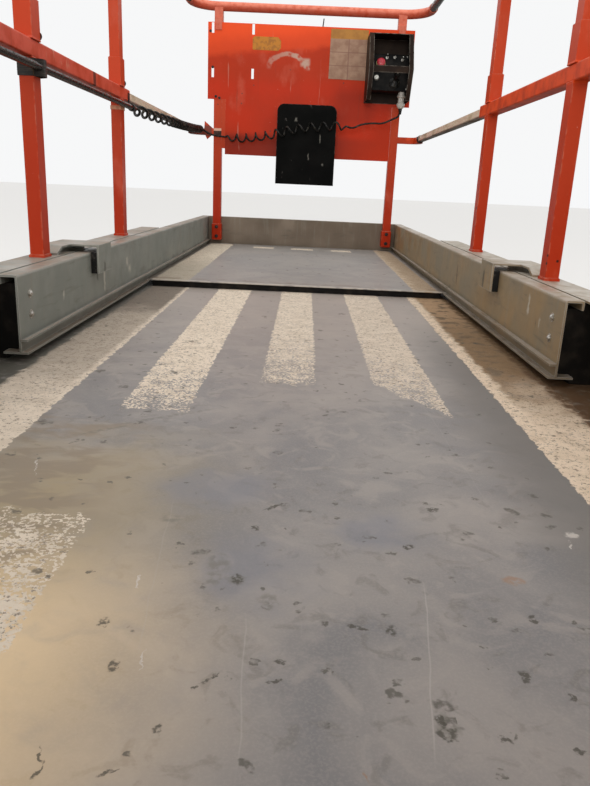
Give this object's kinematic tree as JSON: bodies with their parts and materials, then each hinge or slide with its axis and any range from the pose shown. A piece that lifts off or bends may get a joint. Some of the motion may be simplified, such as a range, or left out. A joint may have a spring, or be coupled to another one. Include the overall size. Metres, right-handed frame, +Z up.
{
  "type": "scissor lift work platform",
  "caption": "Work platform of a scissor lift: steel deck with kick boards, guard rails, rear gate and a roll-out extension with its control box.",
  "frame": {"origin": "on the floor, under the middle of the platform's whole length with the extension out", "axes": "+X to the right, +Y forward to the extension and its controls, +Z up"},
  "size_m": [1.2, 3.741, 1.2689],
  "materials": {
    "galvanised_steel": "galvanised sheet, dull and stained",
    "orange_paint": "orange-red gloss paint, chipped and scuffed",
    "deck_paint": "grey deck paint, worn, with worn anti-slip stripes",
    "frame_paint": "grey underframe paint",
    "bare_tube": "bare drawn steel tube, browned with old grease",
    "dark_tube": "blackened steel tube",
    "guard_paint": "dark grey paint, rubbed at the edges",
    "black_plastic": "moulded black plastic, scratched",
    "nylon": "black nylon wear pads",
    "red_plastic": "red button",
    "grey_plastic": "light grey connector shell",
    "cord_rubber": "black cable sheath",
    "band_rubber": "weathered band and tape round the posts",
    "zinc": "zinc-plated hinge parts"
  },
  "bodies": {
    "platform": {"bearer_left": "frame_paint", "bearer_right": "frame_paint", "cross_members": "frame_paint", "main_deck": "deck_paint", "outer_beam_left": "galvanised_steel", "outer_beam_right": "galvanised_steel", "keeper_left": "galvanised_steel", "keeper_right": "galvanised_steel", "keeper_pads": "nylon", "front_slide_pads": "nylon", "lower_posts_left": "orange_paint", "lower_posts_right": "orange_paint", "upper_posts_left": "orange_paint", "upper_posts_right": "orange_paint", "mid_rail_left": "orange_paint", "mid_rail_right": "orange_paint", "top_rail_left": "orange_paint", "top_rail_right": "orange_paint", "gate_posts": "orange_paint", "rear_mid_rails": "orange_paint", "rear_toe_boards": "galvanised_steel", "gate_hinges": "zinc", "gate_stop": "orange_paint", "rail_cable": "cord_rubber", "cable_gland": "black_plastic", "rail_coil": "cord_rubber", "cable_clips": "zinc", "post_bands": "band_rubber"},
    "gate": {"gate_frame": "orange_paint", "gate_toe_plate": "galvanised_steel"},
    "extension": {"extension_deck": "deck_paint", "deck_slide_strip": "nylon", "inner_beam_left": "galvanised_steel", "inner_beam_right": "galvanised_steel", "slide_blocks": "nylon", "front_toe_board": "galvanised_steel", "post_sockets": "orange_paint", "front_post_left": "orange_paint", "front_post_right": "orange_paint", "front_top_rail": "orange_paint", "top_slide_tubes": "dark_tube", "mid_arm_left": "orange_paint", "mid_arm_right": "orange_paint", "cord_plate": "orange_paint", "mid_slide_tubes": "bare_tube", "control_panel": "orange_paint", "panel_tabs": "orange_paint", "document_box": "black_plastic", "control_guard": "guard_paint", "control_console": "black_plastic", "guard_cross_bar": "guard_paint", "stop_button": "red_plastic", "cord_connector": "grey_plastic", "lead_past_post": "cord_rubber", "front_coil": "cord_rubber", "cord_tail": "cord_rubber"}
  },
  "joints": [
    {"name": "extension_slide", "type": "slide", "parent": "platform", "child": "extension", "axis": [0, 1, 0], "range_m": [-1.085, 0], "deforming": ["rail_coil"]},
    {"name": "gate_swing", "type": "hinge", "parent": "platform", "child": "gate", "pos_m": [-0.302, -1.8115, 0.7], "axis": [0, 0, 1], "range_deg": [0, 90], "stiffness_Nm_per_rad": 3, "springref_deg": -20.05}
  ]
}
